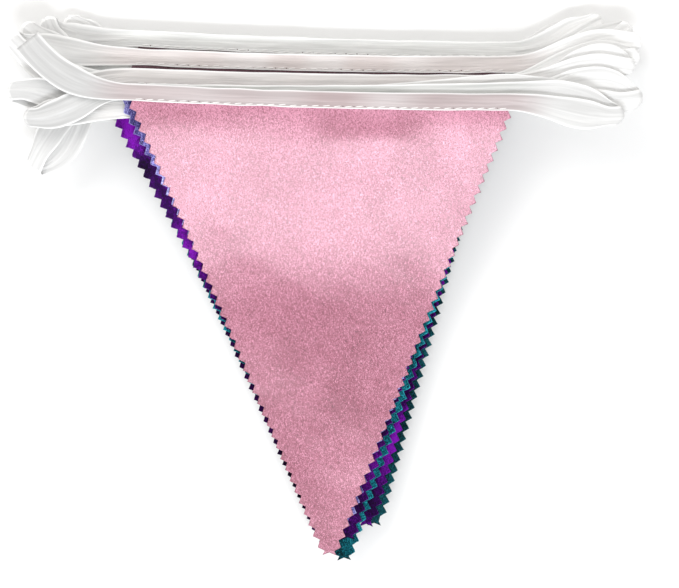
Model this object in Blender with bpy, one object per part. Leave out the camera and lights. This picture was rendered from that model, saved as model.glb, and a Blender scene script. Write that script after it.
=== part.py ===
"""Fabric bunting, folded back and forth into one flat pile of pennants.

Frame: the pile lies on z = 0 with +Z up.  The pennants point along -Y, and the
ribbon that joins them runs along X above their top edges.  Lengths in metres.
"""

import math

import bmesh
import bpy

MM = 0.001

# Pennant, as cut.  Hand cutting makes the drop vary, and each tip is pulled to
# the right of the middle as it lies, so the rows below have their own values.
PENNANT_WIDTH = 150.0 * MM
CLOTH_THICK = 1.0 * MM
TOP_SEGMENTS = 6

# Pinked side edges and the blunt two-point tip.
TEETH_PER_SIDE = 41
TOOTH_DEPTH = 2.1 * MM
NECK_HALF = 1.9 * MM
NECK_RISE = 1.7 * MM
FORK_HALF = 2.8 * MM
FORK_NOTCH = 1.1 * MM

# Ribbon: folded lengthwise, so two plies of it grip each pennant's top margin.
# Beyond the pennants the fold opens towards the loops.
RIBBON_WIDTH = 6.8 * MM
LOOP_WIDTH = 11.6 * MM
RIBBON_THICK_SEWN = 1.6 * MM
RIBBON_THICK_LOOSE = 1.0 * MM
RIBBON_SAG = 1.0 * MM
SEAM_GAP = 0.3 * MM

# Heights.  Layer j of the pile lies j pitches above the table.  The pitch is
# larger at the ribbon than over the cloth, so the upper pennants slope down.
PITCH_RIBBON = 2.4 * MM
PITCH_CLOTH = 1.3 * MM
SLOPE_TOP_Y = 64.0 * MM
SLOPE_RUN = 76.0 * MM
SLOPE_STEPS = 8

# Loops between pennants.  By OPEN_BY of its length a strand has the loop's width,
# and from TAPER_FROM on it narrows to BEND_WIDTH_SHARE of that at its fold.
STRAND_STEPS = 7
STRAND_PULL = 0.40
BEND_STEPS = 6
BEND_RADIUS = 0.5 * PITCH_RIBBON
BEND_WIDTH_SHARE = 0.66
TAPER_FROM = 0.70
OPEN_BY = 0.60
THIN_RATE = 2.0

# Edges sharper than this many degrees are shaded as edges.
SHARP_ANGLE = 35.0

CLOTH_COLOURS = {
    "pink": (0.80, 0.36, 0.46),
    "lavender": (0.36, 0.31, 0.70),
    "purple": (0.17, 0.01, 0.30),
    "teal": (0.00, 0.22, 0.29),
}
RIBBON_COLOUR = (0.90, 0.90, 0.88)
CLOTH_ROUGHNESS = 0.38
CLOTH_METALLIC = 0.6
RIBBON_ROUGHNESS = 0.5

# The rows below are moved by this much, which puts the origin under the middle.
SHIFT = (-0.4 * MM, 0.0 * MM)

# One row per pennant from the top of the pile down: colour, place of the left
# end of its seam (mm), the turn of the seam (degrees, anticlockwise), the drop
# of the cloth and how far its tip lies right of the middle (mm), and whether its
# teeth start half a tooth late (0 or 1).
PENNANTS = (
    # colour, left_x, left_y, turn, drop, lean, late
    ("pink", -75.9, 73.1, -1.5, 181.9, 8.4, 0),
    ("lavender", -79.8, 73.4, 0.1, 172.5, 12.8, 1),
    ("purple", -82.2, 66.0, 4.2, 176.7, 4.6, 0),
    ("teal", -78.8, 65.0, 2.1, 180.6, 5.9, 0),
    ("pink", -75.4, 79.8, -1.0, 181.0, 8.0, 0),
    ("lavender", -76.4, 75.0, -0.7, 177.2, 8.0, 0),
    ("purple", -80.6, 78.1, -0.8, 175.3, 25.6, 1),
    ("teal", -80.6, 78.5, -0.6, 175.5, 28.2, 1),
    ("pink", -76.6, 88.2, -1.2, 181.6, 8.0, 0),
    ("lavender", -77.4, 81.6, -0.5, 181.7, 8.0, 0),
    ("purple", -80.4, 76.4, -0.2, 180.8, 7.2, 1),
    ("teal", -79.0, 80.0, -0.5, 181.9, 8.0, 0),
    ("pink", -74.6, 96.0, -1.8, 181.9, 8.0, 0),
    ("lavender", -76.6, 89.6, -0.9, 182.0, 8.0, 0),
    ("purple", -78.2, 87.2, -0.8, 182.0, 8.0, 1),
    ("teal", -77.0, 93.6, -1.2, 182.0, 8.0, 0),
)

# Ribbon beyond the pennants, in the order in which it runs from the top layer
# down.  Each row: middle of the far end (mm), the way that the far end points
# (degrees) and how far the arriving strand is turned from it (degrees); the
# leaving strand is turned as far the other way.
START_END = (-117.8, 97.0, 128.0, 0.0)
LOOPS = (
    # end_x, end_y, heading, spread
    (119.0, 67.0, -12.0, 14.0),
    (-118.0, 66.5, 184.0, -8.0),
    (126.5, 73.5, -16.0, 27.0),
    (-125.0, 77.5, 172.0, 14.0),
    (123.5, 86.5, -26.0, 16.0),
    (-116.5, 47.0, 216.0, 28.0),
    (126.0, 91.0, -6.0, 12.0),
    (-125.0, 98.5, 148.0, -16.0),
    (127.0, 97.5, 8.0, -14.0),
    (-119.6, 104.0, 130.0, 12.0),
    (123.6, 103.0, 24.0, 14.0),
    (-111.6, 106.5, 120.0, -12.0),
    (111.6, 107.0, 40.0, -16.0),
    (-103.0, 107.0, 134.0, 14.0),
    (106.5, 103.5, 28.0, 18.0),
)
FINISH_END = (-112.0, 90.0, 160.0, 0.0)


def placed(x, y):
    """World place of a point given in millimetres in the tables."""
    return (x * MM + SHIFT[0], y * MM + SHIFT[1])


def smooth(share):
    return share * share * (3.0 - 2.0 * share)


def slope_levels():
    """World y of each crease line of the slope, from the ribbon down."""
    return [SLOPE_TOP_Y - SLOPE_RUN * i / SLOPE_STEPS for i in range(SLOPE_STEPS + 1)]


def pitch_levels():
    rise = PITCH_RIBBON - PITCH_CLOTH
    return [PITCH_CLOTH + rise * smooth(1.0 - i / SLOPE_STEPS) for i in range(SLOPE_STEPS + 1)]


class Drape:
    """How one layer hangs: its height and the place of each flat line."""

    def __init__(self, layer):
        self.ys = slope_levels()
        self.zs = [layer * pitch for pitch in pitch_levels()]
        step = SLOPE_RUN / SLOPE_STEPS
        slopes = [(upper - lower) / step for upper, lower in zip(self.zs, self.zs[1:])]
        padded = [0.0] + slopes + [0.0]
        self.thick = [
            CLOTH_THICK * math.hypot(1.0, 0.5 * (above + below))
            for above, below in zip(padded, padded[1:])
        ]
        self.flat = [self.ys[0]]
        for slope in slopes:
            self.flat.append(self.flat[-1] - step * math.hypot(1.0, slope))

    def place(self, flat_y):
        """World y, height and upright thickness at a y measured on flat cloth."""
        if flat_y >= self.flat[0]:
            return flat_y, self.zs[0], self.thick[0]
        if flat_y <= self.flat[-1]:
            return self.ys[-1] + flat_y - self.flat[-1], self.zs[-1], self.thick[-1]
        for i in range(SLOPE_STEPS):
            if flat_y >= self.flat[i + 1]:
                break
        share = (self.flat[i] - flat_y) / (self.flat[i] - self.flat[i + 1])
        return tuple(
            values[i] + share * (values[i + 1] - values[i])
            for values in (self.ys, self.zs, self.thick)
        )


class Seam:
    """The line where a pennant meets the lower edge of the ribbon."""

    def __init__(self, left_x, left_y, turn):
        angle = math.radians(turn)
        self.left = placed(left_x, left_y)
        self.along = (math.cos(angle), math.sin(angle))
        self.up = (-math.sin(angle), math.cos(angle))

    def point(self, along, up):
        return tuple(
            self.left[i] + along * self.along[i] + up * self.up[i] for i in range(2)
        )

    def edge(self, share, up):
        """A point beside the gently sagging seam, from 0 at left to 1 at right."""
        sag = RIBBON_SAG * 4.0 * share * (1.0 - share)
        return self.point(share * PENNANT_WIDTH, up - sag)


def toothed(start, end, out, late):
    """Points along a pinked edge from start to end, teeth towards the out side."""
    run = (end[0] - start[0], end[1] - start[1])
    length = math.hypot(*run)
    side = (run[1] / length * out, -run[0] / length * out)
    steps = 2 * TEETH_PER_SIDE
    points = [start]
    for i in range(1, steps):
        depth = TOOTH_DEPTH if (i + late) % 2 else 0.0
        points.append(tuple(start[a] + run[a] * i / steps + side[a] * depth for a in range(2)))
    points.append(end)
    return points


def pennant_sides(seam, drop, lean, late):
    """Left and right chains of flat points, each from the seam to the fork."""
    tip = (0.5 * PENNANT_WIDTH + lean * MM, -drop * MM)
    chains = []
    for end, side in ((0.0, -1.0), (PENNANT_WIDTH, 1.0)):
        neck = (tip[0] + side * NECK_HALF, tip[1] + NECK_RISE)
        chain = toothed((end, -SEAM_GAP), neck, -side, late)
        chain.append((tip[0] + side * FORK_HALF, tip[1]))
        chains.append([seam.point(*point) for point in chain])
    notch = seam.point(tip[0], tip[1] + FORK_NOTCH)
    return chains[0], chains[1], notch


def cut_at(chain, levels):
    """Add a point to a falling chain wherever it crosses one of the levels."""
    points = [chain[0]]
    for before, after in zip(chain, chain[1:]):
        for level in levels:
            if before[1] > level > after[1]:
                share = (before[1] - level) / (before[1] - after[1])
                points.append((before[0] + share * (after[0] - before[0]), level))
        points.append(after)
    return points


def pennant_strips(row, drape):
    """Flat polygons between crease lines, each anticlockwise seen from above."""
    seam = Seam(*row[1:4])
    left, right, notch = pennant_sides(seam, *row[4:])
    left = cut_at(left, drape.flat)
    right = cut_at(right, drape.flat)
    top = [seam.edge(i / TOP_SEGMENTS, -SEAM_GAP) for i in range(TOP_SEGMENTS - 1, 0, -1)]
    bounds = [math.inf] + drape.flat + [-math.inf]
    strips = []
    for upper, lower in zip(bounds, bounds[1:]):
        fall = [point for point in left if lower <= point[1] <= upper]
        rise = [point for point in reversed(right) if lower <= point[1] <= upper]
        middle = [notch] if lower == -math.inf else []
        close = top if upper == math.inf else []
        strips.append(fall + middle + rise + close)
    return strips


def add_object(name, bm, material):
    mesh = bpy.data.meshes.new(name)
    bm.to_mesh(mesh)
    bm.free()
    mesh.shade_smooth()
    mesh.set_sharp_from_angle(angle=math.radians(SHARP_ANGLE))
    mesh.materials.append(material)
    part = bpy.data.objects.new(name, mesh)
    bpy.context.scene.collection.objects.link(part)


def make_pennant(name, layer, row, material):
    drape = Drape(layer)
    bm = bmesh.new()
    lower, upper = {}, {}
    edges = {}
    for strip in pennant_strips(row, drape):
        for point in strip:
            if point not in lower:
                y, z, thick = drape.place(point[1])
                lower[point] = bm.verts.new((point[0], y, z))
                upper[point] = bm.verts.new((point[0], y, z + thick))
        bm.faces.new([upper[point] for point in strip])
        bm.faces.new([lower[point] for point in reversed(strip)])
        for pair in zip(strip, strip[1:] + strip[:1]):
            edges[pair] = pair
    for first, second in edges:
        if (second, first) not in edges:
            bm.faces.new((lower[first], lower[second], upper[second], upper[first]))
    bmesh.ops.triangulate(bm, faces=bm.faces[:], quad_method="BEAUTY", ngon_method="BEAUTY")
    add_object(name, bm, material)


def bezier(start, start_way, end, end_way, share):
    reach = STRAND_PULL * math.dist(start, end)
    a, b = 1.0 - share, share
    weights = (a * a * a, 3.0 * a * a * b, 3.0 * a * b * b, b * b * b)
    second = [start[i] + reach * start_way[i] for i in range(2)]
    third = [end[i] - reach * end_way[i] for i in range(2)]
    points = (start, second, third, end)
    return [sum(w * p[i] for w, p in zip(weights, points)) for i in range(2)]


class Strand:
    """The ribbon of one layer from a pennant's corner out to a far end."""

    def __init__(self, seam, side, base, far, width_share):
        end_x, end_y, heading, spread = far
        self.side = side
        self.base = base
        self.width_share = width_share
        self.spread = math.radians(spread)
        self.point = (math.cos(math.radians(heading)), math.sin(math.radians(heading)))
        self.far = placed(end_x, end_y)
        way = turned(self.point, self.spread)
        end = self.along_fold(-0.5 * math.pi)
        start = seam.edge(0.5 + 0.5 * side, 0.5 * RIBBON_WIDTH)
        start_way = (side * seam.along[0], side * seam.along[1])
        self.plan = [
            bezier(start, start_way, end, way, i / STRAND_STEPS) for i in range(STRAND_STEPS + 1)
        ]
        self.ways = [start_way]
        for before, after in zip(self.plan, self.plan[2:]):
            length = math.dist(before, after)
            self.ways.append(tuple((after[i] - before[i]) / length for i in range(2)))
        self.ways.append(way)

    def along_fold(self, angle):
        """The far end's middle, moved along the fold as the ribbon winds round it."""
        shift = BEND_RADIUS * math.tan(self.spread) * angle
        return (self.far[0] - shift * self.point[1], self.far[1] + shift * self.point[0])

    def ring(self, index, facing):
        share = index / STRAND_STEPS
        skew = self.spread * smooth(share)
        opened = RIBBON_WIDTH + smooth(min(1.0, share / OPEN_BY)) * (LOOP_WIDTH - RIBBON_WIDTH)
        narrow = smooth(max(0.0, share - TAPER_FROM) / (1.0 - TAPER_FROM))
        width = opened * (1.0 - (1.0 - self.width_share) * narrow) / math.cos(skew)
        thin = smooth(min(1.0, THIN_RATE * share))
        thick = RIBBON_THICK_SEWN + thin * (RIBBON_THICK_LOOSE - RIBBON_THICK_SEWN)
        middle = (*self.plan[index], self.base + 0.5 * thick)
        along = [self.side * value for value in turned(self.ways[index], -skew)]
        return ring(middle, along, (0.0, 0.0, facing), width, thick)

    def bend(self, facing):
        """Rings round the fold at the far end, down to the layer below."""
        along = [self.side * value for value in self.point]
        width = LOOP_WIDTH * self.width_share / math.cos(self.spread)
        middle_z = self.base + 0.5 * RIBBON_THICK_LOOSE - BEND_RADIUS
        rings = []
        for i in range(1, BEND_STEPS):
            angle = math.pi * i / BEND_STEPS
            out, up = math.sin(angle), math.cos(angle)
            x, y = self.along_fold(angle - 0.5 * math.pi)
            x += self.point[0] * BEND_RADIUS * out
            y += self.point[1] * BEND_RADIUS * out
            middle = (x, y, middle_z + BEND_RADIUS * up)
            face = (facing * out * self.point[0], facing * out * self.point[1], facing * up)
            rings.append(ring(middle, along, face, width, RIBBON_THICK_LOOSE))
        return rings


def turned(way, angle):
    return (
        way[0] * math.cos(angle) - way[1] * math.sin(angle),
        way[0] * math.sin(angle) + way[1] * math.cos(angle),
    )


def ring(middle, along, face, width, thick):
    """Four corners of one cross-section of the ribbon."""
    across = (-along[1], along[0], 0.0)
    return [
        tuple(middle[i] + 0.5 * (a * width * across[i] + b * thick * face[i]) for i in range(3))
        for a, b in ((-1, -1), (1, -1), (1, 1), (-1, 1))
    ]


def ribbon_rings():
    """Cross-sections of the ribbon from its start at the top to its finish."""
    last = len(PENNANTS) - 1
    rings = []
    for k, row in enumerate(PENNANTS):
        seam = Seam(*row[1:4])
        base = (last - k) * PITCH_RIBBON
        side = 1.0 if k % 2 == 0 else -1.0
        before = (*LOOPS[k - 1][:3], -LOOPS[k - 1][3]) if k else START_END
        after = LOOPS[k] if k < last else FINISH_END
        coming = Strand(seam, -side, base, before, BEND_WIDTH_SHARE if k else 1.0)
        going = Strand(seam, side, base, after, BEND_WIDTH_SHARE if k < last else 1.0)
        rings += [coming.ring(i, side) for i in range(STRAND_STEPS, -1, -1)]
        for i in range(1, TOP_SEGMENTS):
            share = i / TOP_SEGMENTS
            x, y = seam.edge(share if side > 0 else 1.0 - share, 0.5 * RIBBON_WIDTH)
            middle = (x, y, base + 0.5 * RIBBON_THICK_SEWN)
            face = (0.0, 0.0, side)
            rings.append(ring(middle, seam.along, face, RIBBON_WIDTH, RIBBON_THICK_SEWN))
        rings += [going.ring(i, side) for i in range(STRAND_STEPS + 1)]
        if k < last:
            rings += going.bend(side)
    return rings


def make_ribbon(material):
    bm = bmesh.new()
    rings = [[bm.verts.new(corner) for corner in corners] for corners in ribbon_rings()]
    for before, after in zip(rings, rings[1:]):
        for i in range(4):
            j = (i + 1) % 4
            bm.faces.new((before[i], before[j], after[j], after[i]))
    bm.faces.new(rings[0])
    bm.faces.new(rings[-1])
    bmesh.ops.recalc_face_normals(bm, faces=bm.faces[:])
    bmesh.ops.triangulate(bm, faces=bm.faces[:])
    add_object("ribbon", bm, material)


def make_material(name, colour, roughness, metallic):
    material = bpy.data.materials.new(name)
    material.use_nodes = True
    shader = material.node_tree.nodes["Principled BSDF"]
    shader.inputs["Base Color"].default_value = (*colour, 1.0)
    shader.inputs["Roughness"].default_value = roughness
    shader.inputs["Metallic"].default_value = metallic
    material.diffuse_color = (*colour, 1.0)
    return material


def clear_scene():
    for item in list(bpy.data.objects):
        bpy.data.objects.remove(item, do_unlink=True)


def main():
    clear_scene()
    cloths = {
        name: make_material(name + "_cloth", colour, CLOTH_ROUGHNESS, CLOTH_METALLIC)
        for name, colour in CLOTH_COLOURS.items()
    }
    satin = make_material("ribbon_satin", RIBBON_COLOUR, RIBBON_ROUGHNESS, 0.0)
    for k, row in enumerate(PENNANTS):
        layer = len(PENNANTS) - 1 - k
        make_pennant(f"pennant_{k + 1:02d}_{row[0]}", layer, row, cloths[row[0]])
    make_ribbon(satin)


main()
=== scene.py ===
import math
import random

import bpy
import numpy as np
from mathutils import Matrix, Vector


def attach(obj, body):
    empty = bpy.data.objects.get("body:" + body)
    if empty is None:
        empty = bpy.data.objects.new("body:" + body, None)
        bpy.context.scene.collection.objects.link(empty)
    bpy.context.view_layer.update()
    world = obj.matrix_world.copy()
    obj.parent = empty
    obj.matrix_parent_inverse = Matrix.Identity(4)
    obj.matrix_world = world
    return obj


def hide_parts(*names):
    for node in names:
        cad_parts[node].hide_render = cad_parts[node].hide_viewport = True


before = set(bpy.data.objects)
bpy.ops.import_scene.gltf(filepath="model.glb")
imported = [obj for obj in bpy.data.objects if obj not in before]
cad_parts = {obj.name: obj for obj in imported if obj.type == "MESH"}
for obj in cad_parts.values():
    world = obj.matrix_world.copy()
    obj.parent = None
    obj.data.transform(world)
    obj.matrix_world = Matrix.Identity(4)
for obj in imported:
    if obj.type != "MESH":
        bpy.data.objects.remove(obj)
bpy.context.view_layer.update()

MM = 0.001
random.seed(7)
rng = np.random.default_rng(7)

# Same shape values as the part's source, in metres.
PENNANT_WIDTH = 150.0 * MM
TEETH_PER_SIDE = 41
TOOTH_DEPTH = 2.1 * MM
NECK_HALF = 1.9 * MM
NECK_RISE = 1.7 * MM
FORK_HALF = 2.8 * MM
FORK_NOTCH = 1.1 * MM
RIBBON_WIDTH = 6.8 * MM
LOOP_WIDTH = 11.6 * MM
BEND_WIDTH_SHARE = 0.66
TAPER_FROM = 0.70
OPEN_BY = 0.60
RIBBON_SAG = 1.0 * MM
PITCH_RIBBON = 2.4 * MM
PITCH_CLOTH = 1.3 * MM
SLOPE_TOP_Y = 64.0 * MM
SLOPE_RUN = 76.0 * MM
STRAND_PULL = 0.40
BEND_RADIUS = 0.5 * PITCH_RIBBON
SHIFT = (-0.4 * MM, 0.0 * MM)

PENNANTS = (
    # colour, left_x, left_y, turn, drop, lean, late
    ("pink", -75.9, 73.1, -1.5, 181.9, 8.4, 0),
    ("lavender", -79.8, 73.4, 0.1, 172.5, 12.8, 1),
    ("purple", -82.2, 66.0, 4.2, 176.7, 4.6, 0),
    ("teal", -78.8, 65.0, 2.1, 180.6, 5.9, 0),
    ("pink", -75.4, 79.8, -1.0, 181.0, 8.0, 0),
    ("lavender", -76.4, 75.0, -0.7, 177.2, 8.0, 0),
    ("purple", -80.6, 78.1, -0.8, 175.3, 25.6, 1),
    ("teal", -80.6, 78.5, -0.6, 175.5, 28.2, 1),
    ("pink", -76.6, 88.2, -1.2, 181.6, 8.0, 0),
    ("lavender", -77.4, 81.6, -0.5, 181.7, 8.0, 0),
    ("purple", -80.4, 76.4, -0.2, 180.8, 7.2, 1),
    ("teal", -79.0, 80.0, -0.5, 181.9, 8.0, 0),
    ("pink", -74.6, 96.0, -1.8, 181.9, 8.0, 0),
    ("lavender", -76.6, 89.6, -0.9, 182.0, 8.0, 0),
    ("purple", -78.2, 87.2, -0.8, 182.0, 8.0, 1),
    ("teal", -77.0, 93.6, -1.2, 182.0, 8.0, 0),
)
START_END = (-117.8, 97.0, 128.0, 0.0)
LOOPS = (
    # end_x, end_y, heading, spread
    (119.0, 67.0, -12.0, 14.0),
    (-118.0, 66.5, 184.0, -8.0),
    (126.5, 73.5, -16.0, 27.0),
    (-125.0, 77.5, 172.0, 14.0),
    (123.5, 86.5, -26.0, 16.0),
    (-116.5, 47.0, 216.0, 28.0),
    (126.0, 91.0, -6.0, 12.0),
    (-125.0, 98.5, 148.0, -16.0),
    (127.0, 97.5, 8.0, -14.0),
    (-119.6, 104.0, 130.0, 12.0),
    (123.6, 103.0, 24.0, 14.0),
    (-111.6, 106.5, 120.0, -12.0),
    (111.6, 107.0, 40.0, -16.0),
    (-103.0, 107.0, 134.0, 14.0),
    (106.5, 103.5, 28.0, 18.0),
)
FINISH_END = (-112.0, 90.0, 160.0, 0.0)

# Real cloth and ribbon.
CLOTH = 0.22 * MM
PLY = 0.14 * MM
MARGIN = 5.0 * MM
RIBBON_MID = 0.70 * MM
STITCH_START = 1.2 * MM
STITCH_PITCH = 4.4 * MM
STITCH_LONG = 3.0 * MM
STITCH_UP = 0.85 * MM
STITCH_SLANT = 0.16 * MM
STITCH_RISE = 0.26 * MM
THREAD_RADIUS = 0.17 * MM
THREAD_BOW = 0.14 * MM
HOLE_RADIUS = 0.22 * MM
HOLE_DEPTH = 0.05 * MM
HOLE_SIDES = 8

# How the cloth lies.
SLOPE_EASE = 9.0 * MM
CLOTH_OVER_LAYER = 0.5 * MM
BOTTOM_CLOTH_DOWN = 0.39 * MM
RUMPLE_TOP = 0.34 * MM
RUMPLE_LOWER = 0.16 * MM
RUMPLE_FINE = 0.035 * MM
FLAT_BELOW_SEAM = 14 * MM
# The painted highlight under the front ribbon fades over this distance.
PAINTED_HIGHLIGHT_FADE = 9 * MM
UV_STEP = 10 * MM

# How finely each piece is cut up.
DRAPE_STEPS = 220
FRONT_PENNANTS = 4
TOP_COLUMNS = 56
FRONT_COLUMNS = 26
LOWER_COLUMNS = 14
STRAND_ROWS = 27
SEAM_ROWS = 60
BEND_ROWS = 10
# Where the column just inside an edge lies, as a share of the way to that edge.
RIM_SHARE = 0.8


def lin(*rgb):
    """0-255 display values to linear colour."""
    out = []
    for value in rgb:
        c = value / 255.0
        out.append(c / 12.92 if c <= 0.04045 else ((c + 0.055) / 1.055) ** 2.4)
    return tuple(out)


# The tones and broad patches are partly the foil's own colour and partly painted dark reflections and
# glints.
CLOTH_LOOKS = {
    # dark thread, cloth, bright thread, metallic, patches, shine, coat; the patches are painted light
    # and dark reflections
    "pink": (lin(112, 40, 64), lin(156, 70, 98), lin(216, 142, 170), 0.25, 0.12, 0.50, 0.90),
    "lavender": (lin(14, 10, 34), lin(70, 60, 130), lin(186, 184, 244), 0.60, 0.45, 0.30, 0.05),
    "purple": (lin(6, 0, 10), lin(44, 2, 72), lin(112, 16, 152), 0.75, 0.55, 0.15, 0.0),
    "teal": (lin(0, 20, 24), lin(0, 70, 82), lin(50, 180, 196), 0.70, 0.42, 0.15, 0.0),
}
# How far a pennant's painted light and dark reflection patches are moved, in steps of 10 mm.
PATCH_SHIFT = {1: (3.0, 4.0), 2: (1.1, -2.6)}
# Painted shade: pennants low in the pile get a darker copy of their material, with less coat, than
# those over them.
PAINTED_SHADE_FROM = 7
PAINTED_SHADE_SCALE = 0.22
# The ribbon's tone over each pennant, where it isn't the usual one: partly the pennant showing through
# the thin satin, partly painted shade on bands that lie in the pile's shade.
RIBBON_TINTS = {
    0: lin(188, 176, 176),
    1: lin(206, 207, 204),
    2: lin(222, 221, 219),
    3: lin(226, 226, 224),
    4: lin(236, 232, 230),
    8: lin(232, 224, 222),
}
RIBBON_GREY = lin(246, 247, 245)
# Loops high in the pile catch more light, so their white is a little lower.
RIBBON_WHITE_TOP = lin(220, 220, 219)
RIBBON_WHITE_LOW = lin(252, 252, 251)
# Painted shade: loops at the left are painted greyer than those at the right.
LEFT_PAINTED_SHADE_SHARE = 0.80
# The pennant from which on the loops have the low white in full.
WHITE_LOW_FROM = 8.0
# Painted highlight: the ribbon's woven edges are painted lighter, as if their rolled hems catch the
# light.
SELVEDGE_HIGHLIGHT = lin(250, 250, 249)


def smooth(share):
    share = np.clip(share, 0.0, 1.0)
    return share * share * (3.0 - 2.0 * share)


def placed(x, y):
    return np.array((x * MM + SHIFT[0], y * MM + SHIFT[1]))


class Waves:
    """A soft, repeatable noise made of a few long waves."""

    def __init__(self, count, shortest, longest):
        self.k = 2.0 * math.pi / rng.uniform(shortest, longest, count)
        self.a = rng.uniform(0.0, 2.0 * math.pi, count)
        self.p = rng.uniform(0.0, 2.0 * math.pi, count)
        self.norm = 1.0 / math.sqrt(0.5 * count)

    def __call__(self, u, v=0.0):
        total = 0.0
        for k, a, p in zip(self.k, self.a, self.p):
            total = total + np.sin(k * (u * math.cos(a) + v * math.sin(a)) + p)
        return total * self.norm


class Drape:
    """Height of a layer over the table, with the slope down from the ribbon."""

    def __init__(self, layer):
        self.y = np.linspace(SLOPE_TOP_Y + SLOPE_EASE, SLOPE_TOP_Y - SLOPE_RUN, DRAPE_STEPS + 1)
        down = (SLOPE_TOP_Y - self.y) / SLOPE_RUN
        # Rounded corner: the slope starts softly over the ease on both sides.
        corner = SLOPE_EASE / SLOPE_RUN
        down = np.where(down < corner, (down + corner) ** 2 / (4.0 * corner), down)
        left = 1.0 - np.clip(down, 0.0, 1.0)
        fall = 0.4 * smooth(left) + 0.6 * left**2
        self.z = layer * (PITCH_CLOTH + (PITCH_RIBBON - PITCH_CLOTH) * fall)
        arcs = np.hypot(np.diff(self.y), np.diff(self.z))
        self.flat = self.y[0] - np.concatenate(([0.0], np.cumsum(arcs)))

    def place(self, flat_y):
        """Place and height of cloth that lies at flat_y before it is draped."""
        y = np.interp(-flat_y, -self.flat, self.y)
        y = y + np.maximum(flat_y - self.flat[0], 0.0) + np.minimum(flat_y - self.flat[-1], 0.0)
        return y, np.interp(-flat_y, -self.flat, self.z)


SEAM_WAVES = [Waves(4, 30 * MM, 80 * MM) for row in PENNANTS]


def seam_lift(k, u):
    """How far the ribbon of pennant k stands off its layer at u along the seam."""
    ease = np.sqrt(np.sin(math.pi * np.clip(u / PENNANT_WIDTH, 0.0, 1.0)))
    return 0.16 * MM * SEAM_WAVES[k](u) * ease


class Seam:
    """A pennant's sewn edge, which sags a little between its ends."""

    def __init__(self, left_x, left_y, turn):
        angle = math.radians(turn)
        self.left = placed(left_x, left_y)
        self.along = np.array((math.cos(angle), math.sin(angle)))
        self.up = np.array((-math.sin(angle), math.cos(angle)))

    def point(self, along, up):
        sag = RIBBON_SAG * 4.0 * (along / PENNANT_WIDTH) * (1.0 - along / PENNANT_WIDTH)
        sag = np.clip(sag, 0.0, None) * np.clip(1.0 + up / (30.0 * MM), 0.0, 1.0)
        up = up - sag
        return self.left[0] + along * self.along[0] + up * self.up[0], (
            self.left[1] + along * self.along[1] + up * self.up[1]
        )


def new_object(name, verts, faces, uvs=None, colours=None, smooth_faces=True):
    """A mesh object in the scene, with its flat places and tints where it has them."""
    mesh = bpy.data.meshes.new(name)
    mesh.from_pydata(verts.tolist(), [], faces)
    if uvs is not None:
        layer = mesh.uv_layers.new(name="flat")
        index = np.empty(len(mesh.loops), dtype=np.int32)
        mesh.loops.foreach_get("vertex_index", index)
        layer.data.foreach_set("uv", np.asarray(uvs, dtype=np.float32)[index].ravel())
    if colours is not None:
        tint = mesh.color_attributes.new("tint", "FLOAT_COLOR", "POINT")
        rgba = np.concatenate((colours, np.ones((len(colours), 1))), axis=1)
        tint.data.foreach_set("color", rgba.astype(np.float32).ravel())
    if smooth_faces:
        mesh.shade_smooth()
    mesh.update()
    obj = bpy.data.objects.new(name, mesh)
    bpy.context.scene.collection.objects.link(obj)
    return obj


def shell(name, top, bottom, uv, painted_highlight):
    """A closed thin sheet from two matching grids of points (rows, columns, 3)."""
    rows, cols = top.shape[:2]
    verts = np.concatenate((top.reshape(-1, 3), bottom.reshape(-1, 3)))
    half = rows * cols
    grid = np.arange(half).reshape(rows, cols)
    a, b = grid[:-1, :-1].ravel(), grid[:-1, 1:].ravel()
    c, d = grid[1:, 1:].ravel(), grid[1:, :-1].ravel()
    faces = np.stack((a, d, c, b), axis=1).tolist()
    faces += (np.stack((a, b, c, d), axis=1) + half).tolist()
    border = np.concatenate((grid[0, :-1], grid[:-1, -1], grid[-1, :0:-1], grid[:0:-1, 0]))
    after = np.roll(border, -1)
    faces += np.stack((border, after, after + half, border + half), axis=1).tolist()
    obj = new_object(name, verts, faces, np.concatenate((uv, uv)).reshape(-1, 2))
    values = obj.data.attributes.new("painted_highlight", "FLOAT", "POINT")
    values.data.foreach_set("value", np.concatenate((painted_highlight, painted_highlight)).astype(np.float32).ravel())
    return obj


def with_rims(grid):
    """Add a column just inside each outer one, for the narrow painted highlight along the edge."""
    left = RIM_SHARE * grid[:, :1] + (1.0 - RIM_SHARE) * grid[:, 1:2]
    right = RIM_SHARE * grid[:, -1:] + (1.0 - RIM_SHARE) * grid[:, -2:-1]
    return np.concatenate((grid[:, :1], left, grid[:, 1:-1], right, grid[:, -1:]), axis=1)


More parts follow.
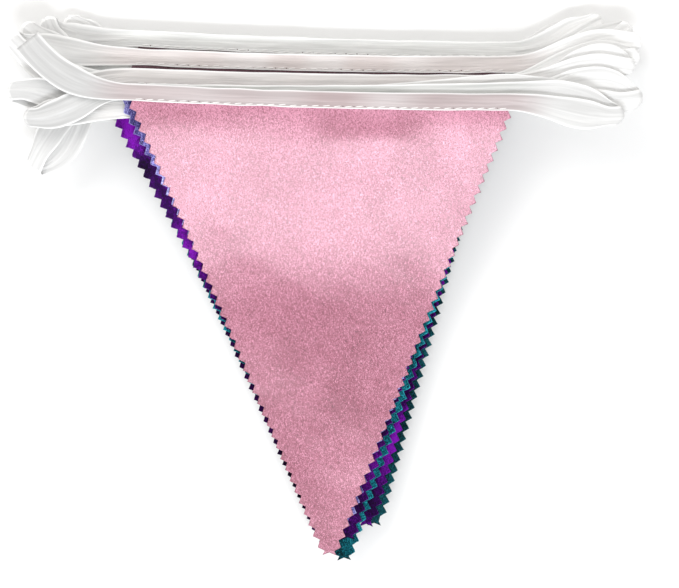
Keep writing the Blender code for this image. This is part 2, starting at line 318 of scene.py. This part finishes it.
def cut_pennant(drop, lean, late, per_half, columns):
    """Flat points along and up from the seam, with the depth and count of the teeth."""
    # Rows: hidden margin, then every part of a tooth, then the fork.
    half_steps = 2 * TEETH_PER_SIDE * per_half
    share = np.arange(half_steps + 1) / half_steps
    neck_v = -drop + NECK_RISE
    v = share * neck_v
    mid = 0.5 * PENNANT_WIDTH + lean
    left = share * (mid - NECK_HALF)
    right = PENNANT_WIDTH + share * (mid + NECK_HALF - PENNANT_WIDTH)
    count = share * TEETH_PER_SIDE + 0.5 * late
    tooth = TOOTH_DEPTH * (1.0 - 2.0 * np.abs(count % 1.0 - 0.5))
    tooth *= 1.0 + 0.06 * rng.standard_normal(len(share))
    if late:
        tooth[(share < 0.5 / TEETH_PER_SIDE) | (share > 1.0 - 0.5 / TEETH_PER_SIDE)] = 0.0
    lengths = np.hypot(left[-1] - left[0], neck_v), np.hypot(right[-1] - right[0], neck_v)
    lean_l, lean_r = -neck_v / lengths[0], -neck_v / lengths[1]
    drop_l, drop_r = (left[-1] - left[0]) / lengths[0], (right[0] - right[-1]) / lengths[1]
    u = np.zeros((len(share), columns + 1))
    vv = np.repeat(v[:, None], columns + 1, axis=1)
    inner = np.linspace(0.0, 1.0, columns - 1)
    inset = np.minimum(0.35 * MM, 0.1 * (right - left))
    u[:, 1:-1] = (left + inset)[:, None] + (right - left - 2 * inset)[:, None] * inner
    u[:, 0] = left - tooth * lean_l
    u[:, -1] = right + tooth * lean_r
    vv[:, 0] -= tooth * drop_l
    vv[:, -1] -= tooth * drop_r
    margin_u = np.stack([left[0] + PENNANT_WIDTH * np.linspace(0, 1, columns + 1)] * 2)
    margin_v = np.stack((np.full(columns + 1, MARGIN), np.full(columns + 1, 0.4 * MARGIN)))
    fork = np.linspace(-FORK_HALF, FORK_HALF, columns + 1)
    fork_v = -drop + FORK_NOTCH * (1.0 - np.abs(fork) / FORK_HALF)
    u = with_rims(np.concatenate((margin_u, u, (mid + fork)[None])))
    vv = with_rims(np.concatenate((margin_v, vv, fork_v[None])))
    return u, vv, tooth, count


def tooth_curl(shape, tooth, count, layer):
    """How far each tooth bends up or down; those of the lowest pennant lie flat."""
    curl = np.zeros(shape)
    ids = np.clip(np.floor(count).astype(int), 0, TEETH_PER_SIDE - 1)
    for edge, second in ((0, 1), (-1, -2)):
        per_tooth = rng.normal(0.02 * MM, 0.16 * MM, TEETH_PER_SIDE)
        curl[2:-1, edge] = per_tooth[ids] * (tooth / TOOTH_DEPTH) * (1.0 if layer else 0.0)
        curl[2:-1, second] = RIM_SHARE * curl[2:-1, edge]
    return np.clip(curl, -0.3 * MM, 0.45 * MM)


def pennant(k, row):
    """One pennant, cut flat and then laid in its layer of the pile."""
    colour, drop, lean, late = row[0], row[4] * MM, row[5] * MM, row[6]
    layer = len(PENNANTS) - 1 - k
    seam, drape = Seam(*row[1:4]), Drape(layer)
    front = k < FRONT_PENNANTS
    columns = TOP_COLUMNS if k == 0 else FRONT_COLUMNS if front else LOWER_COLUMNS
    u, v, tooth, count = cut_pennant(drop, lean, late, 3 if front else 2, columns)
    big, small = Waves(7, 35 * MM, 90 * MM), Waves(9, 9 * MM, 22 * MM)
    quiet = smooth(-v / FLAT_BELOW_SEAM) if layer else 0.0 * v
    tall = RUMPLE_TOP if k == 0 else RUMPLE_LOWER
    rumple = np.maximum(tall * big(u, v) + RUMPLE_FINE * small(u, v), -0.4 * MM) * quiet
    curl = tooth_curl(u.shape, tooth, count, layer)
    x, flat_y = seam.point(u, v)
    y, z = drape.place(flat_y)
    z = z + CLOTH_OVER_LAYER + rumple + curl
    if not layer:
        z = z - BOTTOM_CLOTH_DOWN
    z[:2] = layer * PITCH_RIBBON + RIBBON_MID + seam_lift(k, u[:2])
    top = np.stack((x, y, z + 0.5 * CLOTH), axis=-1)
    bottom = np.stack((x, y, z - 0.5 * CLOTH), axis=-1)
    move_u, move_v = PATCH_SHIFT.get(k, (0.0, 0.0))
    uv = np.stack((u / UV_STEP + 17.3 * k + move_u, v / UV_STEP + 5.1 * k + move_v), axis=-1)
    # Painted highlight: the teeth of the lower pennants, and the front pennant just under the ribbon,
    # are painted lighter as if they catch the light.
    painted_highlight = np.exp(np.minimum(v, 0.0) / PAINTED_HIGHLIGHT_FADE) if k == 0 else np.zeros_like(u)
    if k:
        painted_highlight[2:, 0] = painted_highlight[2:, -1] = 1.0
    obj = shell(f"cloth_{k + 1:02d}_{colour}", top, bottom, uv, painted_highlight)
    obj.data.materials.append(cloth_material(colour, k >= PAINTED_SHADE_FROM))
    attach(obj, "root")
    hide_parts(f"pennant_{k + 1:02d}_{colour}")
    return obj


MATERIALS = {}


def add_noise(tree, vector, scale, detail, rough, distortion=0.0):
    node = tree.nodes.new("ShaderNodeTexNoise")
    node.inputs["Scale"].default_value = scale
    node.inputs["Detail"].default_value = detail
    node.inputs["Roughness"].default_value = rough
    node.inputs["Distortion"].default_value = distortion
    tree.links.new(vector, node.inputs["Vector"])
    return node.outputs["Fac"]


def add_mix(tree, factor, first, second):
    node = tree.nodes.new("ShaderNodeMix")
    node.data_type = "FLOAT"
    node.inputs["Factor"].default_value = factor
    tree.links.new(first, node.inputs[2])
    tree.links.new(second, node.inputs[3])
    return node.outputs[0]


def cloth_material(colour, in_painted_shade):
    """Foil-coated cloth: fine crinkled grain under broad light and dark patches, partly the foil's own
    colour and partly painted reflections.
    """
    if (colour, in_painted_shade) in MATERIALS:
        return MATERIALS[colour, in_painted_shade]
    *tones, metallic, patchy, shine, coat = CLOTH_LOOKS[colour]
    # Painted shade: the copy for pennants low in the pile has darker tones.
    tones = [np.array(tone) * (PAINTED_SHADE_SCALE if in_painted_shade else 1.0) for tone in tones]
    material = bpy.data.materials.new(f"{colour}_foil_cloth" + ("_dull" if in_painted_shade else ""))
    material.use_nodes = True
    tree = material.node_tree
    nodes, links = tree.nodes, tree.links
    shader = nodes["Principled BSDF"]
    coord = nodes.new("ShaderNodeUVMap")
    coord.uv_map = "flat"
    turn = nodes.new("ShaderNodeMapping")
    turn.inputs["Rotation"].default_value = (0.0, 0.0, math.radians(34.0))
    turn.inputs["Scale"].default_value = (1.0, 0.6, 1.0)
    links.new(coord.outputs["UV"], turn.inputs["Vector"])
    flat = turn.outputs["Vector"]
    grain = add_noise(tree, flat, 21.0, 3.0, 0.70, 1.6)
    patches = add_noise(tree, flat, 0.42, 3.0, 0.55, 0.4)
    # Painted highlight: this attribute moves the colour towards the bright tone.
    painted_highlight = nodes.new("ShaderNodeAttribute")
    painted_highlight.attribute_name = "painted_highlight"
    mix = add_mix(tree, patchy, grain, patches)
    lit = nodes.new("ShaderNodeMath")
    lit.operation = "MULTIPLY_ADD"
    lit.inputs[1].default_value = 0.07 if colour == "pink" else 0.13
    links.new(painted_highlight.outputs["Fac"], lit.inputs[0])
    links.new(mix, lit.inputs[2])
    ramp = nodes.new("ShaderNodeValToRGB")
    ramp.color_ramp.elements[0].position = 0.40
    ramp.color_ramp.elements[0].color = (*tones[0], 1.0)
    ramp.color_ramp.elements[1].position = 0.61
    ramp.color_ramp.elements[1].color = (*tones[2], 1.0)
    middle = ramp.color_ramp.elements.new(0.50)
    middle.color = (*tones[1], 1.0)
    links.new(lit.outputs[0], ramp.inputs["Fac"])
    links.new(ramp.outputs["Color"], shader.inputs["Base Color"])
    bump = nodes.new("ShaderNodeBump")
    bump.inputs["Strength"].default_value = 0.80
    bump.inputs["Distance"].default_value = 0.00011
    links.new(grain, bump.inputs["Height"])
    links.new(bump.outputs["Normal"], shader.inputs["Normal"])
    shader.inputs["Metallic"].default_value = metallic
    shader.inputs["Roughness"].default_value = 0.38
    shader.inputs["Specular IOR Level"].default_value = shine
    shader.inputs["Coat Weight"].default_value = 0.3 * coat if in_painted_shade else coat
    shader.inputs["Coat Roughness"].default_value = 0.32
    shader.inputs["Coat IOR"].default_value = 1.9
    links.new(bump.outputs["Normal"], shader.inputs["Coat Normal"])
    MATERIALS[colour, in_painted_shade] = material
    return material


def ribbon_material():
    """White satin: fine streaks and creases that run along the ribbon, as bumps and as painted shade
    and highlight in its colour.
    """
    material = bpy.data.materials.new("white_satin")
    material.use_nodes = True
    tree = material.node_tree
    nodes, links = tree.nodes, tree.links
    shader = nodes["Principled BSDF"]
    tint = nodes.new("ShaderNodeAttribute")
    tint.attribute_name = "tint"
    coord = nodes.new("ShaderNodeUVMap")
    coord.uv_map = "flat"
    along = nodes.new("ShaderNodeMapping")
    along.inputs["Scale"].default_value = (0.16, 5.0, 1.0)
    links.new(coord.outputs["UV"], along.inputs["Vector"])
    streaks = add_noise(tree, along.outputs["Vector"], 1.5, 3.0, 0.6, 0.3)
    # Painted shade and highlight: the streaks darken and lighten the satin's colour.
    ramp = nodes.new("ShaderNodeValToRGB")
    ramp.color_ramp.elements[0].position = 0.36
    ramp.color_ramp.elements[0].color = (0.80, 0.80, 0.80, 1.0)
    ramp.color_ramp.elements[1].position = 0.60
    ramp.color_ramp.elements[1].color = (1.06, 1.06, 1.06, 1.0)
    links.new(streaks, ramp.inputs["Fac"])
    shade = nodes.new("ShaderNodeMix")
    shade.data_type = "RGBA"
    shade.blend_type = "MULTIPLY"
    shade.inputs["Factor"].default_value = 0.65
    links.new(tint.outputs["Color"], shade.inputs[6])
    links.new(ramp.outputs["Color"], shade.inputs[7])
    links.new(shade.outputs[2], shader.inputs["Base Color"])
    bump = nodes.new("ShaderNodeBump")
    bump.inputs["Strength"].default_value = 0.55
    bump.inputs["Distance"].default_value = 0.0005
    links.new(streaks, bump.inputs["Height"])
    links.new(bump.outputs["Normal"], shader.inputs["Normal"])
    shader.inputs["Roughness"].default_value = 0.36
    shader.inputs["Sheen Weight"].default_value = 0.15
    return material


def plain_material(name, colour, roughness):
    material = bpy.data.materials.new(name)
    material.use_nodes = True
    shader = material.node_tree.nodes["Principled BSDF"]
    shader.inputs["Base Color"].default_value = (*colour, 1.0)
    shader.inputs["Roughness"].default_value = roughness
    return material


def bezier(start, start_way, end, end_way, share):
    reach = STRAND_PULL * np.hypot(*(end - start))
    share = share[:, None]
    a, b = 1.0 - share, share
    return (
        a**3 * start
        + 3 * a * a * b * (start + reach * start_way)
        + 3 * a * b * b * (end - reach * end_way)
        + b**3 * end
    )


def rotated(ways, angle):
    c, s = np.cos(angle), np.sin(angle)
    return np.stack((ways[..., 0] * c - ways[..., 1] * s, ways[..., 0] * s + ways[..., 1] * c), -1)


class Strand:
    """Fine stations of the ribbon from a pennant's corner to a loop's far end."""

    def __init__(self, seam, side, base, far, is_loop):
        end_x, end_y, heading, spread = far
        spread = math.radians(spread)
        heading = math.radians(heading)
        self.base, self.spread = base, spread
        self.out = np.array((math.cos(heading), math.sin(heading)))
        self.far = placed(end_x, end_y)
        way = rotated(self.out, spread)
        end = self.fold_point(-0.5 * math.pi)
        corner = PENNANT_WIDTH if side > 0 else 0.0
        start = np.array(seam.point(corner, 0.5 * RIBBON_WIDTH))
        share = np.arange(STRAND_ROWS + 1) / STRAND_ROWS
        plan = bezier(start, side * seam.along, end, way, share)
        ways = np.gradient(plan, axis=0)
        ways[0], ways[-1] = side * seam.along, way
        ways /= np.hypot(ways[:, 0], ways[:, 1])[:, None]
        skew = spread * smooth(share)
        self.plan = plan
        self.along = side * rotated(ways, -skew)
        end_share = BEND_WIDTH_SHARE if is_loop else 1.0
        narrow = 1.0 - (1.0 - end_share) * smooth((share - TAPER_FROM) / (1.0 - TAPER_FROM))
        opened = RIBBON_WIDTH + smooth(share / OPEN_BY) * (LOOP_WIDTH - RIBBON_WIDTH)
        self.width = opened * narrow / np.cos(skew)
        self.share = share
        self.is_loop = is_loop
        ease = np.sin(math.pi * share) ** 1.2
        wobble = Waves(4, 0.5, 1.4)
        self.roll = math.radians(3.0) * wobble(share) * ease
        self.lift = 0.18 * MM * Waves(3, 0.5, 1.2)(share) * ease

    def fold_point(self, angle):
        shift = BEND_RADIUS * math.tan(self.spread) * angle
        return self.far + shift * np.array((-self.out[1], self.out[0]))


def strand_stations(s, side, tint, white):
    """Stations of one strand, from the pennant's corner to the strand's far end."""
    rows = []
    for i in range(STRAND_ROWS + 1):
        roll = s.roll[i]
        along = np.array((*s.along[i], 0.0))
        across = np.array((-along[1], along[0], 0.0))
        up = np.array((0.0, 0.0, 1.0))
        face = (up * math.cos(roll) + across * math.sin(roll)) * side
        across = across * math.cos(roll) - up * math.sin(roll)
        near = smooth((s.share[i] - 0.80) / 0.20) if s.is_loop else 0.0
        blend = smooth(s.share[i] / 0.45)
        # Painted shade on the strands that run off to the left.
        white_with_left_shade = white * (LEFT_PAINTED_SHADE_SHARE if s.out[0] < 0.0 else 1.0)
        colour = tint * (1.0 - blend) + white_with_left_shade * blend
        loose = smooth(s.share[i] / 0.12)
        middle = np.array((*s.plan[i], s.base + RIBBON_MID + s.lift[i]))
        out = np.array((*s.out, 0.0))
        rows.append((middle, across, face, s.width[i], near, out, colour, loose))
    return rows


def seam_stations(k, seam, side, base, shade, tint, white):
    """Stations of the ribbon along one pennant, where it is sewn down."""
    rows = []
    for i in range(1, SEAM_ROWS):
        share = i / SEAM_ROWS
        share = share if side > 0 else 1.0 - share
        u = share * PENNANT_WIDTH
        x, y = seam.point(u, 0.5 * RIBBON_WIDTH)
        middle = np.array((x, y, base + RIBBON_MID + seam_lift(k, u)))
        across = np.array((*seam.up, 0.0))
        face = np.array((0.0, 0.0, side))
        out = np.array((*seam.along, 0.0))
        # The band's tone drifts at random between its tint and white along the seam.
        tone_drift = np.clip(0.22 * shade(u), -0.25, 0.25) * math.sin(math.pi * share)
        colour = tint * (1.0 - tone_drift) + white * tone_drift
        rows.append((middle, across, face, RIBBON_WIDTH, 0.0, out, colour, 0.0))
    return rows


def bend_stations(going, side, base, white):
    """Stations round the far end of a loop, down to the layer below."""
    out = np.array((*going.out, 0.0))
    along = side * going.out
    across = np.array((-along[1], along[0], 0.0))
    width = LOOP_WIDTH * BEND_WIDTH_SHARE / math.cos(going.spread)
    rows = []
    for i in range(1, BEND_ROWS):
        angle = math.pi * i / BEND_ROWS
        o, up = math.sin(angle), math.cos(angle)
        x, y = going.fold_point(angle - 0.5 * math.pi) + going.out * BEND_RADIUS * o
        z = base + RIBBON_MID - BEND_RADIUS + BEND_RADIUS * up
        face = side * (o * out + np.array((0.0, 0.0, up)))
        rows.append((np.array((x, y, z)), across, face, width, 1.0, out, white, 1.0))
    return rows


def ribbon_stations():
    """Every station: middle, across, face, width, rounding, out, tint and loop share."""
    last = len(PENNANTS) - 1
    rows = []
    for k, row in enumerate(PENNANTS):
        seam = Seam(*row[1:4])
        base = (last - k) * PITCH_RIBBON
        side = 1.0 if k % 2 == 0 else -1.0
        tint = np.array(RIBBON_TINTS.get(k, RIBBON_GREY))
        shade = Waves(5, 18 * MM, 60 * MM)
        depth = float(smooth(k / WHITE_LOW_FROM))
        white = np.array(RIBBON_WHITE_TOP) * (1.0 - depth) + np.array(RIBBON_WHITE_LOW) * depth
        before = (*LOOPS[k - 1][:3], -LOOPS[k - 1][3]) if k else START_END
        after = LOOPS[k] if k < last else FINISH_END
        coming = Strand(seam, -side, base, before, k > 0)
        going = Strand(seam, side, base, after, k < last)
        rows += strand_stations(coming, side, tint, white)[::-1]
        rows += seam_stations(k, seam, side, base, shade, tint, white)
        rows += strand_stations(going, side, tint, white)
        if k < last:
            rows += bend_stations(going, side, base, white)
    return rows


def section():
    """Folded ribbon's cut: share of the width and height, round both plies."""
    shares = np.array(
        (0.0, 0.03, 0.07, 0.11, 0.16, 0.22, 0.28, 0.34, 0.40, 0.46, 0.52, 0.58, 0.64, 0.70, 0.76)
        + (0.83, 0.89, 0.95, 1.0)
    )
    gaps = np.interp(
        shares,
        (0.0, 0.04, 0.10, 0.22, 0.45, 0.62, 0.80, 0.95, 1.0),
        (0.19, 0.23, 0.17, 0.24, 0.38, 0.41, 0.37, 0.27, 0.08),
    )
    inner_shares = np.array((0.0, 0.13, 0.40, 0.75, 0.97))
    inner = np.maximum(np.interp(inner_shares, shares, gaps) * MM - 0.5 * PLY, 0.0)
    outer = gaps * MM + 0.5 * PLY
    across = np.concatenate((shares, shares[::-1], inner_shares, inner_shares[::-1]))
    height = np.concatenate((outer, -outer[::-1], -inner, inner[::-1]))
    return across, height, len(shares), len(inner_shares)


def end_faces(ring, outside, inside, flip):
    """Faces that close a cut end: one for each ply and one for the fold."""
    loops = (
        np.concatenate((ring[:outside], ring[-inside:])),
        np.concatenate((ring[outside : 2 * outside], ring[2 * outside : -inside])),
        [ring[outside - 1], ring[outside], ring[-inside - 1], ring[-inside]],
    )
    faces = [[int(v) for v in loop] for loop in loops]
    return [face[::-1] if flip else face for face in faces]


def ribbon():
    """The whole ribbon as one strip of two plies; also gives its run."""
    stations = ribbon_stations()
    across_share, height, outside, inside = section()
    count = len(across_share)
    middles = np.array([s[0] for s in stations])
    run = np.concatenate(([0.0], np.cumsum(np.linalg.norm(np.diff(middles, axis=0), axis=1))))
    verts, uvs, colours = [], [], []
    pleats = [
        (start, height_mm, Waves(3, 50 * MM, 140 * MM), Waves(3, 30 * MM, 90 * MM))
        for start, height_mm in ((0.16, 0.24), (0.33, -0.22), (0.50, 0.30), (0.66, -0.26), (0.84, 0.22))
    ]
    pucker = Waves(10, 7 * MM, 24 * MM)
    edge_wave = Waves(8, 10 * MM, 30 * MM)
    offset = across_share - 0.5
    # Painted highlight along both outer edges of the ribbon.
    selvedge_highlight = smooth((np.abs(offset) - 0.42) / 0.05)[:, None]
    # Painted shade: a thin darker line just inside each bright edge, where a groove would lie in shade.
    painted_groove_shade = 1.0 - 0.10 * np.exp(-(((np.abs(offset) - 0.36) / 0.05) ** 2))[:, None]
    belly = np.sin(math.pi * np.clip(across_share, 0.03, 0.97))
    bright = np.array(SELVEDGE_HIGHLIGHT)
    for s, (middle, across, face, width, rounding, out, tint, loose) in zip(run, stations):
        place = across_share * width
        ripple = 0.05 * pucker(s, 3.0 * place)
        for start, tall, wander, swell in pleats:
            here = start + 0.07 * wander(s)
            size = tall * loose * (0.6 + 0.5 * swell(s))
            ripple = ripple + size * np.exp(-(((across_share - here) / 0.055) ** 2))
        ripple = MM * ripple * belly
        squeeze = 1.0 + 0.02 * edge_wave(s)
        soft = rounding * 2.4 * MM * (2.0 * np.abs(offset)) ** 2.4
        flat = height * (1.0 - 0.45 * loose)
        points = (
            middle
            + across * (offset * width * squeeze)[:, None]
            + face * (flat + ripple)[:, None]
            - out * soft[:, None]
        )
        # Points near the table are eased up, so that none goes through it.
        low = points[:, 2] < 0.3 * MM
        points[low, 2] = MM * (0.05 + 0.25 * np.exp((points[low, 2] / MM - 0.3) / 0.25))
        verts.append(points)
        uvs.append(np.stack((np.full(count, s / UV_STEP), across_share * 0.7 + (height < 0)), -1))
        colours.append(tint * painted_groove_shade * (1.0 - selvedge_highlight) + bright * selvedge_highlight)
    rows = len(verts)
    grid = np.arange(rows * count).reshape(rows, count)
    nxt = np.roll(grid, -1, axis=1)
    faces = np.stack((grid[:-1], grid[1:], nxt[1:], nxt[:-1]), -1).reshape(-1, 4).tolist()
    for ring, flip in ((grid[0], False), (grid[-1], True)):
        faces += end_faces(ring, outside, inside, flip)
    verts = np.concatenate(verts)
    obj = new_object("ribbon_folded", verts, faces, np.concatenate(uvs), np.concatenate(colours))
    obj.data.materials.append(ribbon_material())
    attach(obj, "root")
    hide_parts("ribbon")
    return obj, float(run[-1])


def capsule(start, end, radius, lift, sides=6, rows=6):
    """A stitch: a thread bowed up between its two ends."""
    axis = end - start
    length = np.linalg.norm(axis)
    axis = axis / length
    up = np.array((0.0, 0.0, 1.0))
    wide = np.cross(axis, up)
    verts = []
    for i in range(rows + 1):
        share = i / rows
        r = radius * math.sqrt(max(0.02, 1.0 - (2.0 * share - 1.0) ** 4))
        middle = start + axis * length * share + up * lift * math.sin(math.pi * share)
        for j in range(sides):
            angle = 2.0 * math.pi * j / sides
            verts.append(middle + r * (math.cos(angle) * wide + math.sin(angle) * up))
    faces = []
    for i in range(rows):
        for j in range(sides):
            a, b = i * sides + j, i * sides + (j + 1) % sides
            faces.append((a, b, b + sides, a + sides))
    faces.append(tuple(range(sides - 1, -1, -1)))
    faces.append(tuple(rows * sides + j for j in range(sides)))
    return np.array(verts), faces


def needle_hole_shade(middle):
    """A flat plug on the ribbon, painted dark as the shade in a needle hole, a little longer along the
    seam than across.
    """
    ring = []
    for j in range(HOLE_SIDES):
        angle = 2.0 * math.pi * j / HOLE_SIDES
        ring.append(middle + HOLE_RADIUS * np.array((1.3 * math.cos(angle), math.sin(angle), 0.0)))
    low = [p - np.array((0.0, 0.0, HOLE_DEPTH)) for p in ring]
    faces = [tuple(range(HOLE_SIDES)), tuple(2 * HOLE_SIDES - 1 - j for j in range(HOLE_SIDES))]
    for j in range(HOLE_SIDES):
        n = (j + 1) % HOLE_SIDES
        faces.append((j + HOLE_SIDES, n + HOLE_SIDES, n, j))
    return np.array(ring + low), faces


class Parts:
    """Small closed meshes gathered into one."""

    def __init__(self):
        self.verts, self.faces, self.total = [], [], 0

    def add(self, verts, faces):
        self.verts.append(verts)
        self.faces += [tuple(i + self.total for i in face) for face in faces]
        self.total += len(verts)


def stitches():
    """Running stitches along every seam, and the needle holes between them, painted dark as their
    shade.
    """
    threads, holes = Parts(), Parts()
    last = len(PENNANTS) - 1
    for k, row in enumerate(PENNANTS):
        seam = Seam(*row[1:4])
        level = (last - k) * PITCH_RIBBON + RIBBON_MID + STITCH_RISE
        u = STITCH_START
        while u + STITCH_LONG < PENNANT_WIDTH:
            jitter = random.uniform(-0.12, 0.12) * MM
            a = seam.point(u, STITCH_UP - STITCH_SLANT + jitter)
            b = seam.point(u + STITCH_LONG, STITCH_UP + STITCH_SLANT + jitter)
            z = level + seam_lift(k, u + 0.5 * STITCH_LONG)
            threads.add(*capsule(np.array((*a, z)), np.array((*b, z)), THREAD_RADIUS, THREAD_BOW))
            gap = 0.5 * (STITCH_PITCH - STITCH_LONG)
            place = seam.point(u + STITCH_LONG + gap, STITCH_UP + jitter)
            holes.add(*needle_hole_shade(np.array((*place, z - 0.02 * MM))))
            u += STITCH_PITCH
    thread = new_object("ribbon_stitches", np.concatenate(threads.verts), threads.faces)
    thread.data.materials.append(plain_material("white_thread", lin(250, 249, 247), 0.6))
    hole = new_object("needle_holes", np.concatenate(holes.verts), holes.faces, smooth_faces=False)
    hole.data.materials.append(plain_material("needle_hole_shade", lin(120, 108, 108), 0.9))
    for obj in (thread, hole):
        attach(obj, "root")
    return thread, hole


def floor():
    size = 3.0
    verts = np.array(((-size, -size, 0), (size, -size, 0), (size, size, 0), (-size, size, 0)))
    obj = new_object("floor", verts, [(0, 1, 2, 3)], smooth_faces=False)
    obj.data.materials.append(plain_material("pale_floor", (0.93, 0.93, 0.925), 0.8))
    return obj


def area_light(name, place, target, size, power, colour=(1.0, 1.0, 1.0)):
    data = bpy.data.lights.new(name, "AREA")
    data.shape = "RECTANGLE"
    data.size, data.size_y = size
    data.energy = power
    data.color = colour
    obj = bpy.data.objects.new(name, data)
    obj.location = place
    obj.rotation_euler = (Vector(target) - Vector(place)).to_track_quat("-Z", "Y").to_euler()
    bpy.context.scene.collection.objects.link(obj)


def stage():
    """Floor, lights, white surroundings and the photo's camera."""
    floor()
    area_light("key", (-0.55, 0.85, 1.1), (0.0, 0.0, 0.0), (0.9, 0.9), 8.5, (1.0, 0.985, 0.97))
    area_light("front_fill", (0.05, -0.68, 1.2), (0.0, 0.03, 0.0), (0.9, 0.28), 11.0, (0.95, 0.97, 1.0))
    world = bpy.data.worlds.new("studio")
    world.use_nodes = True
    back = world.node_tree.nodes["Background"]
    back.inputs["Color"].default_value = (1.0, 0.99, 0.98, 1.0)
    back.inputs["Strength"].default_value = 0.68
    bpy.context.scene.world = world
    data = bpy.data.cameras.new("photo_view")
    data.sensor_width = 36.0
    distance = 2.0
    # The photo is this wide at the height of the upper layers.
    photo_width = 0.2716
    upper_layers = 0.030
    data.lens = data.sensor_width * (distance - upper_layers) / photo_width
    data.clip_end = 20.0
    camera = bpy.data.objects.new("photo_view", data)
    camera.location = (6.4 * MM, -4.0 * MM, distance)
    bpy.context.scene.collection.objects.link(camera)
    bpy.context.scene.camera = camera
    bpy.context.scene.view_settings.view_transform = "Standard"


cloths = [pennant(k, row) for k, row in enumerate(PENNANTS)]
satin, ribbon_length = ribbon()
thread, holes = stitches()
stage()
